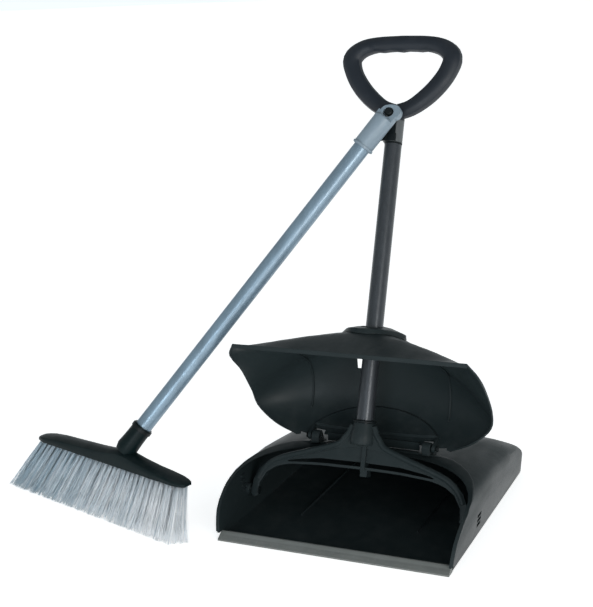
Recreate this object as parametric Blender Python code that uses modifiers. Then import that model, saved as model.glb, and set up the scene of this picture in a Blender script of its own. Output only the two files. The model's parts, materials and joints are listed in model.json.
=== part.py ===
"""Lobby dustpan with a tilting handle, a hinged hood that follows it, and a broom hooked on the neck.

Metres, +Z up, +Y towards the back of the pan.
The origin is on the floor, on the centre line, at the lip's front edge.
"""

import math

import bmesh
import bpy
from mathutils import Matrix, Vector

# Pan
PAN_HALF_FLOOR = 0.168
PAN_HALF_WIDE = 0.1745
PAN_SIDE_Z = 0.065
PAN_TOP_Z = 0.0965
PAN_DEPTH = 0.381
PAN_WALL = 0.003
PAN_LEVEL_Y = 0.165
PAN_ROUND_Y = 0.261
PAN_REAR_Z = 0.0867
PAN_BACK_Z = 0.028
PAN_CORNER = 0.012
SHOULDER_POWER = 2.8
BEAD_PROUD = 0.0018
BEAD_WIDTH = 0.007
FLOOR_RIB_X = 0.088
SIDE_SLOT_Z = 0.0178
SIDE_SLOT_PITCH = 0.0068

# Lip strip
LIP_DEPTH = 0.0165
LIP_HEIGHT = 0.0095
LIP_HALF = 0.1665

# Hood hinge, on the roof's front edge
HINGE_Y = 0.169
HINGE_Z = 0.1045
HINGE_X = 0.084
HINGE_PIN_R = 0.0025
HINGE_BORE_R = 0.0027

# Handle: it turns about the pivot line and leans back at rest
PIVOT_Y = 0.105
PIVOT_Z = 0.036
LEAN = math.radians(20.9)
PIVOT_PIN_R = 0.0035
PIVOT_BORE_R = 0.00365
YOKE_HALF_THICK = 0.0045
BEAD_R = 0.0046
TUBE_R = 0.0125
TUBE_BORE_R = 0.0114
TUBE_LOW = 0.084
TUBE_HIGH = 0.5130
SOCKET_R = 0.0154
NECK_R = 0.0128
NECK_LOW = 0.5157
NECK_HIGH = 0.5478
GRIP_LOW = 0.5482

# Hood
HOOD_WALL = 0.0026
SLOT_LOW = (0.2400, 0.1408, 0.1974)
SLOT_HIGH = (0.3000, 0.1811, 0.2216)
SLOT_HALF = 0.0138
COLLAR_HIGH = 0.0062
ARCH_HALF = 0.114
ARCH_HIGH = 0.056
ARCH_Z = 0.085

# Peg and broom
PEG_RISE = math.radians(30.0)
PEG_R = 0.0058
EYE_FORWARD = 0.0289
EYE_ALONG = 0.5526
BROOM_FOOT = Vector((-0.3350, 0.0469, 0.0990))
CAP_R = 0.0152
HEAD_FRONT_LEFT = Vector((-0.5197, 0.0778, 0.0803))
HEAD_FRONT_RIGHT = Vector((-0.2185, -0.0021, 0.0700))
HEAD_WIDTH = 0.029
BRISTLE_THICK = 0.0026
BRISTLE_ROWS = 4

GAP = 0.0003

# Axes of the handle: along the tube, and square to it towards the front
ALONG = Vector((0.0, math.sin(LEAN), math.cos(LEAN)))
FORWARD = Vector((0.0, -math.cos(LEAN), math.sin(LEAN)))
PIVOT = Vector((0.0, PIVOT_Y, PIVOT_Z))
EYE = PIVOT + ALONG * EYE_ALONG + FORWARD * EYE_FORWARD
PEG_AXIS = Vector((0.0, -math.cos(PEG_RISE), math.sin(PEG_RISE)))


def clear_scene():
    for obj in list(bpy.data.objects):
        bpy.data.objects.remove(obj, do_unlink=True)


def make_collection(name):
    collection = bpy.data.collections.new(name)
    bpy.context.scene.collection.children.link(collection)
    return collection


def make_material(name, colour, roughness, metallic=0.0):
    material = bpy.data.materials.new(name)
    material.use_nodes = True
    shader = material.node_tree.nodes["Principled BSDF"]
    shader.inputs["Base Color"].default_value = (*colour, 1.0)
    shader.inputs["Roughness"].default_value = roughness
    shader.inputs["Metallic"].default_value = metallic
    material.diffuse_color = (*colour, 1.0)
    return material


def mesh_object(name, points, faces, material=None):
    """A mesh object: a part when it has a material, else a cutter."""
    mesh = bpy.data.meshes.new(name)
    mesh.from_pydata([tuple(point) for point in points], [], faces)
    work = bmesh.new()
    work.from_mesh(mesh)
    bmesh.ops.recalc_face_normals(work, faces=work.faces)
    work.to_mesh(mesh)
    work.free()
    obj = bpy.data.objects.new(name, mesh)
    if material is None:
        CUTTERS.objects.link(obj)
        obj.hide_render = True
        obj.display_type = "WIRE"
    else:
        PARTS.objects.link(obj)
        mesh.materials.append(material)
    return obj


def split_faces(obj):
    """Triangles in place of warped four-sided faces, so that a Boolean meets flat faces only."""
    work = bmesh.new()
    work.from_mesh(obj.data)
    bmesh.ops.triangulate(work, faces=work.faces)
    work.to_mesh(obj.data)
    work.free()
    return obj


def loft(name, rings, material=None, closed=False):
    """Skin over rings of points, with flat ends, or joined end to end when closed."""
    size = len(rings[0])
    points = [point for ring in rings for point in ring]
    count = len(rings)
    faces = []
    for i in range(count if closed else count - 1):
        low = i * size
        high = ((i + 1) % count) * size
        for j in range(size):
            k = (j + 1) % size
            faces.append((low + j, low + k, high + k, high + j))
    if not closed:
        faces.append(tuple(range(size)))
        faces.append(tuple(range((count - 1) * size, count * size)))
    return mesh_object(name, points, faces, material)


def prism(name, outline, place, low, high, material=None):
    """A flat outline of (a, b) pairs pushed from low to high; place(a, b, c) gives the point."""
    rings = [[place(a, b, c) for a, b in outline] for c in (low, high)]
    return loft(name, rings, material)


def turned(name, profile, origin, axis, material=None, steps=32):
    """A Screw-turned solid. The profile holds (radius, distance along the axis), top to bottom."""
    mesh = bpy.data.meshes.new(name)
    points = [(radius, 0.0, along) for radius, along in profile]
    edges = [(i, i + 1) for i in range(len(points) - 1)]
    if profile[0][0] > 0.0 and profile[-1][0] > 0.0:
        edges.append((len(points) - 1, 0))
    mesh.from_pydata(points, edges, [])
    obj = bpy.data.objects.new(name, mesh)
    turn = Vector((0.0, 0.0, 1.0)).rotation_difference(Vector(axis).normalized())
    obj.matrix_world = Matrix.Translation(Vector(origin)) @ turn.to_matrix().to_4x4()
    screw = obj.modifiers.new("Turn", "SCREW")
    screw.axis = "Z"
    screw.steps = steps
    screw.render_steps = steps
    screw.use_merge_vertices = True
    screw.merge_threshold = 0.00001
    if material is None:
        CUTTERS.objects.link(obj)
        obj.hide_render = True
        obj.display_type = "WIRE"
    else:
        PARTS.objects.link(obj)
        mesh.materials.append(material)
    return obj


def rod(name, radius, start, end, material=None, steps=24):
    """A solid cylinder between two points."""
    start = Vector(start)
    axis = Vector(end) - start
    profile = [(0.0, axis.length), (radius, axis.length), (radius, 0.0), (0.0, 0.0)]
    return turned(name, profile, start, axis, material, steps)


def combine(obj, other, operation):
    modifier = obj.modifiers.new(other.name, "BOOLEAN")
    modifier.operation = operation
    modifier.solver = "EXACT"
    modifier.object = other
    return obj


def cut(obj, other):
    return combine(obj, other, "DIFFERENCE")


def join(obj, other):
    return combine(obj, other, "UNION")


def soften(obj, width, segments=2, angle=40.0):
    modifier = obj.modifiers.new("Edges", "BEVEL")
    modifier.width = width
    modifier.segments = segments
    modifier.limit_method = "ANGLE"
    modifier.angle_limit = math.radians(angle)
    return obj


def spline(controls, count):
    """Points spaced along a smooth curve through the controls."""
    controls = [Vector(control) for control in controls]
    ends = [2 * controls[0] - controls[1]] + controls + [2 * controls[-1] - controls[-2]]
    spans = len(controls) - 1
    points = []
    for i in range(count):
        place = spans * i / (count - 1)
        k = min(int(place), spans - 1)
        t = place - k
        a, b, c, d = ends[k : k + 4]
        square = 2 * a - 5 * b + 4 * c - d
        cube = 3 * b - a - 3 * c + d
        points.append(0.5 * (2 * b + (c - a) * t + square * t**2 + cube * t**3))
    return points


def arc(centre, radius, start, end, count):
    """(a, b) pairs round a circle, in degrees."""
    pairs = []
    for i in range(count):
        angle = math.radians(start + (end - start) * i / (count - 1))
        pairs.append((centre[0] + radius * math.cos(angle), centre[1] + radius * math.sin(angle)))
    return pairs


def power(value, exponent):
    return math.copysign(abs(value) ** exponent, value)


def side_plane(y, z, x):
    return Vector((x, y, z))


def front_plane(x, z, y):
    """Point for an outline drawn in (x, z)."""
    return Vector((x, y, z))


def handle_point(x, along, forward=0.0):
    return PIVOT + Vector((x, 0.0, 0.0)) + ALONG * along + FORWARD * forward


# Pan


def pan_section(y, inset):
    """One ring across the pan, pulled in from its outer face by inset."""
    half_floor = PAN_HALF_FLOOR - inset
    half_wide = PAN_HALF_WIDE - inset
    fall = min(1.0, max(0.0, (y - PAN_LEVEL_Y) / (PAN_ROUND_Y - PAN_LEVEL_Y)))
    top = PAN_TOP_Z - inset - (PAN_TOP_Z - PAN_REAR_Z) * fall**1.3
    side = PAN_SIDE_Z - 0.010 * fall
    if y > PAN_ROUND_Y:
        reach = (y - PAN_ROUND_Y) / (PAN_DEPTH - inset - PAN_ROUND_Y)
        drop = math.sqrt(max(0.0, 1.0 - min(1.0, reach) ** 1.5))
        top = PAN_BACK_Z - inset + (top - PAN_BACK_Z + inset) * drop
        side = 0.4 * top + (side - 0.4 * top) * drop
        corner = PAN_CORNER
        near = max(0.0, y - (PAN_DEPTH - inset - corner)) / corner
        pull = corner * (1.0 - math.sqrt(max(0.0, 1.0 - min(1.0, near) ** 2)))
        half_floor -= pull
        half_wide = half_floor + (PAN_HALF_WIDE - PAN_HALF_FLOOR) * drop
    base = max(inset, 0.0)
    foot = 0.005
    half = [(0.0, base), (half_floor - foot, base)]
    half.append((half_floor - 0.3 * foot, base + 0.3 * foot))
    half.append((half_floor, base + foot))
    half.append((0.5 * (half_floor + half_wide), 0.5 * (base + foot + side)))
    for i in range(10):
        angle = math.radians(9.0 * i)
        x = half_wide * math.cos(angle) ** (2 / SHOULDER_POWER)
        z = side + (top - side) * math.sin(angle) ** (2 / SHOULDER_POWER)
        half.append((x, z))
    half.append((0.0, top))
    mirrored = [(-x, z) for x, z in reversed(half[1:-1])]
    return [Vector((x, y, z)) for x, z in half + mirrored]


def pan_solid(name, inset, front, material=None):
    back = PAN_DEPTH - inset
    rows = [front, 0.10, PAN_LEVEL_Y, 0.20, 0.23, PAN_ROUND_Y]
    turns = [math.radians(angle) for angle in (9, 18, 28, 39, 51, 63, 75, 89)]
    rows += [PAN_ROUND_Y + (back - PAN_ROUND_Y) * math.sin(turn) for turn in turns]
    return split_faces(loft(name, [pan_section(y, inset) for y in rows], material))


def mouth_outline(shift):
    """The region in front of the mouth, in side view, moved back by shift."""
    edge = [
        (0.0040, LIP_HEIGHT + 2 * GAP),
        (0.0062, 0.020),
        (0.0098, 0.030),
        (0.0150, 0.040),
        (0.0255, 0.050),
        (0.0420, 0.060),
        (0.0640, 0.0695),
        (0.1000, 0.0795),
        (0.1650, 0.0950),
        (0.1680, 0.1150),
    ]
    front = [(LIP_DEPTH + GAP, -0.010), (LIP_DEPTH + GAP, LIP_HEIGHT + 2 * GAP)]
    if shift:
        front = [(LIP_DEPTH + GAP + shift, -0.010)]
    moved = [(y + shift, z) for y, z in edge]
    return [(-0.060, -0.010)] + front + moved + [(-0.060, 0.1150)]


def wall_ribs(name, side):
    """Ladder of short ribs inside a side wall, in front of the pivot."""
    ends = sorted((side * 0.150, side * 0.180))
    ribs = None
    for step in range(4):
        low = 0.0386 + 0.0070 * step
        outline = [(0.0875, low), (0.0985, low), (0.0985, low + 0.0024), (0.0875, low + 0.0024)]
        rib = prism(f"{name}_{step}", outline, side_plane, *ends)
        if ribs is None:
            ribs = rib
        else:
            join(ribs, rib)
    combine(ribs, pan_solid(name + "_outside", PAN_WALL - 0.0008, -0.020), "INTERSECT")
    cut(ribs, pan_solid(name + "_inside", PAN_WALL + 0.0013, -0.020))
    return ribs


def make_pan():
    shell = pan_solid("pan_shell", 0.0, 0.0, BLACK)

    bead = pan_solid("bead_solid", -BEAD_PROUD, 0.0)
    behind = prism("bead_behind", mouth_outline(BEAD_WIDTH), side_plane, -0.3, 0.3)
    combine(bead, behind, "INTERSECT")
    below = [(-0.1, -0.1), (0.5, -0.1), (0.5, 0.0115), (-0.1, 0.0115)]
    cut(bead, prism("bead_below", below, side_plane, -0.3, 0.3))
    join(shell, bead)

    cut(shell, pan_solid("pan_hollow", PAN_WALL, -0.020))

    for side in (-1, 1):
        sideways = Vector((side, 0.0, 0.0))
        join(shell, rod(f"pivot_boss_{side}", 0.0085, PIVOT + sideways * 0.1636, PIVOT + sideways * 0.1700))
        ends = (PIVOT + sideways * 0.15, PIVOT + sideways * 0.1688)
        cut(shell, rod(f"pivot_boss_bore_{side}", PIVOT_BORE_R, *ends))
        for step in range(3):
            low = SIDE_SLOT_Z + SIDE_SLOT_PITCH * step
            slot = prism(
                f"side_slot_{side}_{step}",
                [(0.1180, low), (0.1360, low), (0.1360, low + 0.0050), (0.1180, low + 0.0050)],
                side_plane,
                min(side * 0.15, side * 0.19),
                max(side * 0.15, side * 0.19),
            )
            cut(shell, slot)
        join(shell, wall_ribs(f"wall_ribs_{side}", side))
        middle = FLOOR_RIB_X * side
        rib = [(middle - 0.0016, 0.0025), (middle + 0.0016, 0.0025), (middle, 0.0052)]
        join(shell, prism(f"floor_rib_{side}", rib, front_plane, 0.110, 0.330))
    cut(shell, prism("mouth", mouth_outline(0.0), side_plane, -0.3, 0.3))
    return shell


def make_lip():
    outline = [
        (0.0000, 0.0004),
        (0.0002, 0.0),
        (LIP_DEPTH, 0.0),
        (LIP_DEPTH, 0.0036),
        (0.0240, 0.0036),
        (0.0240, 0.0056),
        (LIP_DEPTH, 0.0080),
        (LIP_DEPTH - 0.0015, LIP_HEIGHT),
        (0.0120, LIP_HEIGHT),
        (0.0000, 0.0024),
    ]
    strip = prism("lip_strip", outline, side_plane, -LIP_HALF, LIP_HALF, GREY)
    for side in (-1, 1):
        edge = side * (PAN_HALF_FLOOR - PAN_WALL - 0.0052)
        ends = prism(
            f"lip_relief_{side}",
            [(LIP_DEPTH, 0.0020), (0.030, 0.0020), (0.030, 0.020), (LIP_DEPTH, 0.020)],
            side_plane,
            min(edge, side * 0.2),
            max(edge, side * 0.2),
        )
        cut(strip, ends)
    return strip


def make_hinge_lug(name, side):
    radius = 0.0085
    outline = [(HINGE_Y - 0.0105, 0.0850), (HINGE_Y + 0.0120, 0.0850), (HINGE_Y + 0.0120, 0.0975)]
    outline += arc((HINGE_Y, HINGE_Z), radius, 0.0, 180.0, 13)
    outline += [(HINGE_Y - radius, 0.0985), (HINGE_Y - 0.0105, 0.0975)]
    inner = side * (HINGE_X - 0.006)
    outer = side * (HINGE_X + 0.006)
    lug = prism(name, outline, side_plane, min(inner, outer), max(inner, outer), BLACK)
    soften(lug, 0.0007, 1)
    front = HINGE_Y - 0.0060
    back = HINGE_Y + 0.0110
    foot = [(front, 0.0850), (back, 0.0850), (back, 0.0972), (front, 0.0972)]
    ends = sorted((side * 0.0745, side * 0.0945))
    join(lug, prism(name + "_foot", foot, side_plane, *ends))
    cut(lug, pan_solid(name + "_roof", -GAP, 0.0))
    edge = pan_solid(name + "_edge", -BEAD_PROUD - GAP, 0.0)
    behind = prism(name + "_edge_front", mouth_outline(BEAD_WIDTH + GAP), side_plane, -0.3, 0.3)
    combine(edge, behind, "INTERSECT")
    cut(lug, edge)
    start = (side * 0.060, HINGE_Y, HINGE_Z)
    cut(lug, rod(name + "_bore", HINGE_BORE_R, start, (side * 0.12, HINGE_Y, HINGE_Z)))
    return lug


def make_hinge_pin(name, side):
    start = Vector((side * 0.0985, HINGE_Y, HINGE_Z))
    profile = [
        (0.0, 0.0222),
        (0.0024, 0.0222),
        (HINGE_PIN_R, 0.0216),
        (HINGE_PIN_R, 0.0),
        (0.0042, 0.0),
        (0.0042, -0.0012),
        (0.0030, -0.0020),
        (0.0, -0.0022),
    ]
    return turned(name, profile, start, (-side, 0.0, 0.0), DARK, 20)


def make_pivot_pin(name, side):
    start = Vector((side * 0.1512, PIVOT_Y, PIVOT_Z))
    profile = [
        (0.0, 0.0174),
        (PIVOT_PIN_R - 0.0004, 0.0174),
        (PIVOT_PIN_R, 0.0170),
        (PIVOT_PIN_R, 0.0),
        (0.0056, 0.0),
        (0.0056, -0.0006),
        (0.0046, -0.0012),
        (0.0, -0.0012),
    ]
    return turned(name, profile, start, (side, 0.0, 0.0), DARK, 20)


# Handle


def yoke_half_outline():
    """Right half of the yoke's flat face as (x, along), from the web's top round to its lower edge."""
    outer = [
        (0.0, 0.088),
        (0.0285, 0.088),
        (0.0345, 0.0805),
        (0.0450, 0.0765),
        (0.0610, 0.0720),
        (0.1030, 0.0590),
        (0.1270, 0.0505),
        (0.1420, 0.0425),
        (0.1530, 0.0310),
        (0.1600, 0.0150),
    ]
    foot = arc((0.1558, -0.0036), 0.0062, 10.0, -180.0, 9)
    inner = [
        (0.1500, 0.0110),
        (0.1405, 0.0275),
        (0.1275, 0.0365),
        (0.1160, 0.0405),
        (0.1030, 0.0432),
        (0.0600, 0.0462),
        (0.0, 0.0470),
    ]
    return outer, foot, inner


def yoke_bead(side):
    """Rounded bead along the yoke's outer edge, from beside the socket to the foot."""
    route = spline(
        [
            (0.0160, 0.1085),
            (0.0198, 0.0985),
            (0.0262, 0.0895),
            (0.0345, 0.0800),
            (0.0600, 0.0705),
            (0.1020, 0.0568),
            (0.1245, 0.0485),
            (0.1385, 0.0395),
            (0.1480, 0.0285),
            (0.1535, 0.0170),
        ],
        26,
    )
    rings = []
    for i, point in enumerate(route):
        before = route[max(i - 1, 0)]
        after = route[min(i + 1, len(route) - 1)]
        run = (after - before).normalized()
        ring = []
        for k in range(10):
            turn = 2 * math.pi * k / 10
            out = BEAD_R * math.cos(turn)
            proud = 0.0022 + BEAD_R * math.sin(turn)
            ring.append(handle_point(side * (point.x + run.y * out), point.y - run.x * out, proud))
        rings.append(ring)
    return split_faces(loft(f"yoke_bead_{side}", rings))


def make_yoke():
    outer, foot, inner = yoke_half_outline()
    right = outer + foot + inner
    left = [(-x, along) for x, along in reversed(right) if x > 0.0]
    yoke = prism("yoke", right + left, handle_point, -YOKE_HALF_THICK, YOKE_HALF_THICK, BLACK)
    soften(yoke, 0.0012, 2, 50.0)

    upper = [(0.0, 0.0572), (0.0600, 0.0562), (0.0950, 0.0512), (0.1100, 0.0474)]
    lower = [(0.1080, 0.0462), (0.0600, 0.0502), (0.0, 0.0510)]
    slit_right = upper + lower
    slit = slit_right + [(-x, along) for x, along in reversed(slit_right) if x > 0.0]
    cut(yoke, prism("yoke_slit", slit, handle_point, -0.02, 0.02))
    web_right = [
        (0.0, 0.0780),
        (0.0330, 0.0745),
        (0.0600, 0.0660),
        (0.1000, 0.0526),
        (0.1080, 0.0480),
        (0.0, 0.0520),
    ]
    web = web_right + [(-x, along) for x, along in reversed(web_right) if x > 0.0]
    cut(yoke, prism("yoke_web", web, handle_point, 0.0018, 0.02))

    trumpet = [
        (0.0, 0.1118),
        (SOCKET_R, 0.1118),
        (SOCKET_R + 0.0004, 0.1060),
        (0.0170, 0.0980),
        (0.0182, 0.0850),
        (0.0168, 0.0815),
        (0.0, 0.0800),
    ]
    join(yoke, turned("yoke_socket", trumpet, PIVOT, ALONG, None, 32))
    for side in (-1, 1):
        gusset = [
            (side * 0.0130, 0.1085),
            (side * 0.0158, 0.1085),
            (side * 0.0200, 0.0990),
            (side * 0.0253, 0.0905),
            (side * 0.0338, 0.0818),
            (side * 0.0130, 0.0818),
        ]
        join(yoke, prism(f"yoke_gusset_{side}", gusset, handle_point, -0.0060, 0.0045))
        join(yoke, yoke_bead(side))
    rib = [(0.0026, 0.0440), (0.0086, 0.0440), (0.0086, 0.0860), (0.0026, 0.0860)]
    join(yoke, prism("yoke_rib", rib, handle_point, -0.0115, 0.0060))
    tab = [(0.0026, 0.0376), (0.0126, 0.0376), (0.0126, 0.0480), (0.0026, 0.0480)]
    join(yoke, prism("yoke_tab", tab, handle_point, -0.0115, 0.0050))
    bore = rod("yoke_bore", TUBE_R + GAP, PIVOT + ALONG * (TUBE_LOW - GAP), PIVOT + ALONG * 0.13, None, 32)
    cut(yoke, bore)
    for side in (-1, 1):
        start = PIVOT + Vector((side * 0.1400, 0.0, 0.0))
        end = PIVOT + Vector((side * 0.1700, 0.0, 0.0))
        cut(yoke, rod(f"yoke_pivot_bore_{side}", PIVOT_BORE_R, start, end))
        relief = rod(f"yoke_pivot_seat_{side}", 0.0064, start, PIVOT + Vector((side * 0.1515, 0.0, 0.0)))
        cut(yoke, relief)
    screw = PIVOT + ALONG * 0.0900
    cut(yoke, rod("yoke_screw_bore", 0.0021, screw - FORWARD * 0.0132, screw - FORWARD * 0.030, None, 16))
    return yoke


def make_socket_ring():
    ring = [
        (TUBE_R + GAP, 0.0040),
        (SOCKET_R - 0.0004, 0.0040),
        (SOCKET_R + 0.0011, 0.0028),
        (SOCKET_R + 0.0011, 0.0008),
        (SOCKET_R, 0.0),
        (TUBE_R + GAP, 0.0),
    ]
    return turned("socket_ring", ring, PIVOT + ALONG * 0.1122, ALONG, DARK, 32)


def make_screw(name, head_at, axis, length, head_r=0.0036, shank_r=0.0018):
    profile = [
        (0.0, length),
        (shank_r * 0.5, length),
        (shank_r, length - 0.0015),
        (shank_r, 0.0),
        (head_r, 0.0),
        (head_r, -0.0008),
        (head_r * 0.6, -0.0019),
        (0.0, -0.0022),
    ]
    return turned(name, profile, head_at, axis, STEEL, 16)


def make_pole():
    profile = [(TUBE_BORE_R, TUBE_HIGH), (TUBE_R, TUBE_HIGH), (TUBE_R, TUBE_LOW), (TUBE_BORE_R, TUBE_LOW)]
    return turned("pole", profile, PIVOT, ALONG, TUBE_GREY, 32)


def make_joint_ring():
    profile = [(0.0116, 0.0020), (0.0129, 0.0020), (0.0129, 0.0), (0.0116, 0.0)]
    return turned("joint_ring", profile, PIVOT + ALONG * (TUBE_HIGH + GAP), ALONG, DARK, 32)


def make_neck():
    plug = TUBE_BORE_R - GAP
    profile = [
        (0.0, NECK_HIGH),
        (NECK_R, NECK_HIGH),
        (NECK_R, NECK_LOW),
        (plug, NECK_LOW),
        (plug, NECK_LOW - 0.030),
        (plug - 0.001, NECK_LOW - 0.031),
        (0.0, NECK_LOW - 0.031),
    ]
    neck = turned("neck", profile, PIVOT, ALONG, WARM_GREY, 32)
    bore_at = handle_point(0.0, 0.5350)
    cut(neck, rod("neck_screw_bore", 0.0021, bore_at, bore_at - FORWARD * 0.020, None, 16))
    return neck


def grip_centres(count):
    """Centre line and bar radius round the grip as (x, along, radius), closed."""
    right = [
        (0.0, 0.6622, 0.0120),
        (0.0380, 0.6610, 0.0118),
        (0.0620, 0.6550, 0.0126),
        (0.0762, 0.6405, 0.0142),
        (0.0715, 0.6200, 0.0136),
        (0.0590, 0.6000, 0.0134),
        (0.0420, 0.5820, 0.0130),
        (0.0215, 0.5672, 0.0120),
        (0.0, 0.5600, 0.0118),
    ]
    half = spline(right, count // 2 + 1)
    return half + [Vector((-x, along, radius)) for x, along, radius in reversed(half[1:-1])]


def make_grip():
    """Closed bar with shallow finger scallops under its top."""
    centres = grip_centres(64)
    count = len(centres)
    rings = []
    for i, centre in enumerate(centres):
        before = centres[i - 1]
        after = centres[(i + 1) % count]
        tangent = Vector((after.x - before.x, after.y - before.y)).normalized()
        outward = Vector((-tangent.y, tangent.x))
        x, along, radius = centre
        scallop = 0.0
        if along > 0.655 and abs(x) < 0.050:
            scallop = 0.0009 * math.cos(2 * math.pi * x / 0.0270)
        ring = []
        for j in range(12):
            angle = 2 * math.pi * j / 12
            reach = radius * power(math.cos(angle), 0.9)
            if reach < 0.0:
                reach -= scallop * abs(math.cos(angle))
            depth = 0.92 * radius * power(math.sin(angle), 0.9)
            ring.append(handle_point(x + outward.x * reach, along + outward.y * reach, depth))
        rings.append(ring)
    grip = loft("d_grip", rings, GRIP_BLACK, closed=True)
    boss = [(0.0, 0.5600), (0.0105, 0.5600), (NECK_R, 0.5540), (NECK_R, GRIP_LOW), (0.0, GRIP_LOW)]
    join(grip, turned("grip_boss", boss, PIVOT, ALONG))
    return grip


def make_peg():
    """Saddle on the neck's front left, a strut up its front and the peg the broom hangs on."""
    low = 0.5160
    bore = NECK_R + GAP
    high = low + 0.0110
    profile = [(bore, high), (0.0144, high), (0.0150, low + 0.0095), (0.0150, low), (bore, low)]
    peg = turned("broom_peg", profile, PIVOT, ALONG, DARK, 32)
    saddle = [(-0.030, 0.50), (0.0070, 0.50), (0.0070, 0.56), (-0.030, 0.56)]
    combine(peg, prism("peg_saddle", saddle, handle_point, -0.0030, 0.030), "INTERSECT")
    strut = [(0.0125, low), (0.0142, low), (0.0142, EYE_ALONG + 0.0040), (0.0125, EYE_ALONG + 0.0040)]
    join(peg, prism("peg_strut", strut, lambda f, s, x: handle_point(x, s, f), -0.0030, 0.0060))
    wedge = [(-0.0060, low), (-0.0235, low), (-0.0110, low + 0.0150), (-0.0060, low + 0.0150)]
    join(peg, prism("peg_wedge", wedge, handle_point, 0.0095, 0.0142))
    start = EYE - PEG_AXIS * 0.0120
    end = EYE + PEG_AXIS * 0.0062
    shaft = [
        (0.0, (end - start).length),
        (PEG_R - 0.0012, (end - start).length),
        (PEG_R, (end - start).length - 0.0012),
        (PEG_R, 0.0),
        (0.0, 0.0),
    ]
    join(peg, turned("peg_shaft", shaft, start, PEG_AXIS, None, 20))
    root = [(0.0128, -0.0045), (0.0182, -0.0040), (0.0182, 0.0052), (0.0128, 0.0046)]
    root = [(forward, EYE_ALONG + along) for forward, along in root]
    join(peg, prism("peg_root", root, lambda f, s, x: handle_point(x, s, f), -0.0057, 0.0058))
    clear = turned(
        "peg_neck_clear",
        [(0.0, GRIP_LOW + 0.02), (bore, GRIP_LOW + 0.02), (bore, low - 0.004), (0.0, low - 0.004)],
        PIVOT,
        ALONG,
    )
    cut(peg, clear)
    return peg


# Hood


def hood_rim(count):
    """Right edge of the hood as (half width, y, z), from the front edge down to the hinge edge."""
    return spline(
        [
            (0.1690, 0.0795, 0.2620),
            (0.1815, 0.0925, 0.2400),
            (0.1815, 0.1270, 0.2100),
            (0.1820, 0.1565, 0.1700),
            (0.1765, 0.1655, 0.1420),
            (0.1500, 0.1672, 0.1178),
            (0.1180, 0.1698, 0.1026),
        ],
        count,
    )


def hood_middle(count):
    """Centre line of the hood's outer face as (y, z), over the same stations as its rim."""
    return spline(
        [
            (0.0795, 0.2620),
            (0.1200, 0.2680),
            (0.1620, 0.2715),
            (0.2180, 0.2590),
            (0.2300, 0.2050),
            (0.2280, 0.1550),
            (0.2100, 0.1230),
            (0.1790, 0.1050),
        ],
        count,
    )


def ease(value, centre, width):
    """Smooth step from 0 to 1 about the centre."""
    return 1.0 / (1.0 + math.exp((centre - value) / width))


def hood_bulge(reach, place):
    """How far the hood stands back at reach (-1 to 1): peaked on the roof, full on the back wall."""
    roof = ease(place, 0.25, 0.06)
    wall = ease(place, 0.50, 0.05)
    sharp = 2.8 - 1.7 * roof + 1.5 * wall
    full = 0.72 + 0.53 * roof - 0.45 * wall
    blunt = math.sqrt(reach * reach + 0.010) / math.sqrt(1.010)
    return max(0.0, 1.0 - blunt**sharp) ** full


def hood_grid(offset, stations=24, columns=28):
    """Rows of points over the hood, moved inwards from its outer face by offset."""
    rims = hood_rim(stations)
    middles = hood_middle(stations)
    rows = []
    for i, (rim, middle) in enumerate(zip(rims, middles)):
        row = []
        for j in range(columns + 1):
            reach = math.sin(math.pi * (j / columns - 0.5))
            bulge = hood_bulge(reach, i / (stations - 1))
            y = rim.y + (middle.x - rim.y) * bulge
            z = rim.z + (middle.y - rim.z) * bulge
            row.append(Vector((rim.x * reach, y, z)))
        rows.append(row)
    front = [point + Vector((0.0, -0.0010, -0.0058)) for point in rows[0]]
    rows.insert(0, front)
    if not offset:
        return rows
    count = len(rows)
    moved = []
    for i in range(count):
        row = []
        for j in range(columns + 1):
            down = rows[min(i + 1, count - 1)][j] - rows[max(i - 1, 0)][j]
            across = rows[i][min(j + 1, columns)] - rows[i][max(j - 1, 0)]
            inward = down.cross(across).normalized()
            row.append(rows[i][j] + inward * offset)
        moved.append(row)
    return moved


def sheet(name, outer, inner, material=None):
    """Closed skin between two grids of points."""
    rows = len(outer)
    size = len(outer[0])
    points = [point for row in outer for point in row] + [point for row in inner for point in row]
    shift = rows * size
    faces = []
    for i in range(rows - 1):
        for j in range(size - 1):
            a = i * size + j
            faces.append((a, a + 1, a + size + 1, a + size))
            faces.append((shift + a, shift + a + size, shift + a + size + 1, shift + a + 1))
    loop = [(0, j) for j in range(size)] + [(i, size - 1) for i in range(1, rows)]
    loop += [(rows - 1, j) for j in range(size - 2, -1, -1)] + [(i, 0) for i in range(rows - 2, 0, -1)]
    for k, (i, j) in enumerate(loop):
        m, n = loop[(k + 1) % len(loop)]
        faces.append((i * size + j, m * size + n, shift + m * size + n, shift + i * size + j))
    return split_faces(mesh_object(name, points, faces, material))


def slot_cutter(name):
    """Long slot, rounded at both ends and leaning back, that clears the pole at every tilt."""
    rings = []
    for z, front, back in (SLOT_LOW, SLOT_HIGH):
        outline = arc((0.0, back - SLOT_HALF), SLOT_HALF, 0.0, 180.0, 11)
        outline += arc((0.0, front + SLOT_HALF), SLOT_HALF, 180.0, 360.0, 11)
        rings.append([Vector((x, y, z)) for x, y in outline])
    return split_faces(loft(name, rings))


def hood_line(offset, x, first, last):
    """Points (y, z) down the hood at one distance x from its middle."""
    line = []
    for row in hood_grid(offset)[first:last]:
        for a, b in zip(row, row[1:]):
            if a.x <= x < b.x:
                point = a.lerp(b, (x - a.x) / (b.x - a.x))
                line.append((point.y, point.z))
    return line


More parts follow.
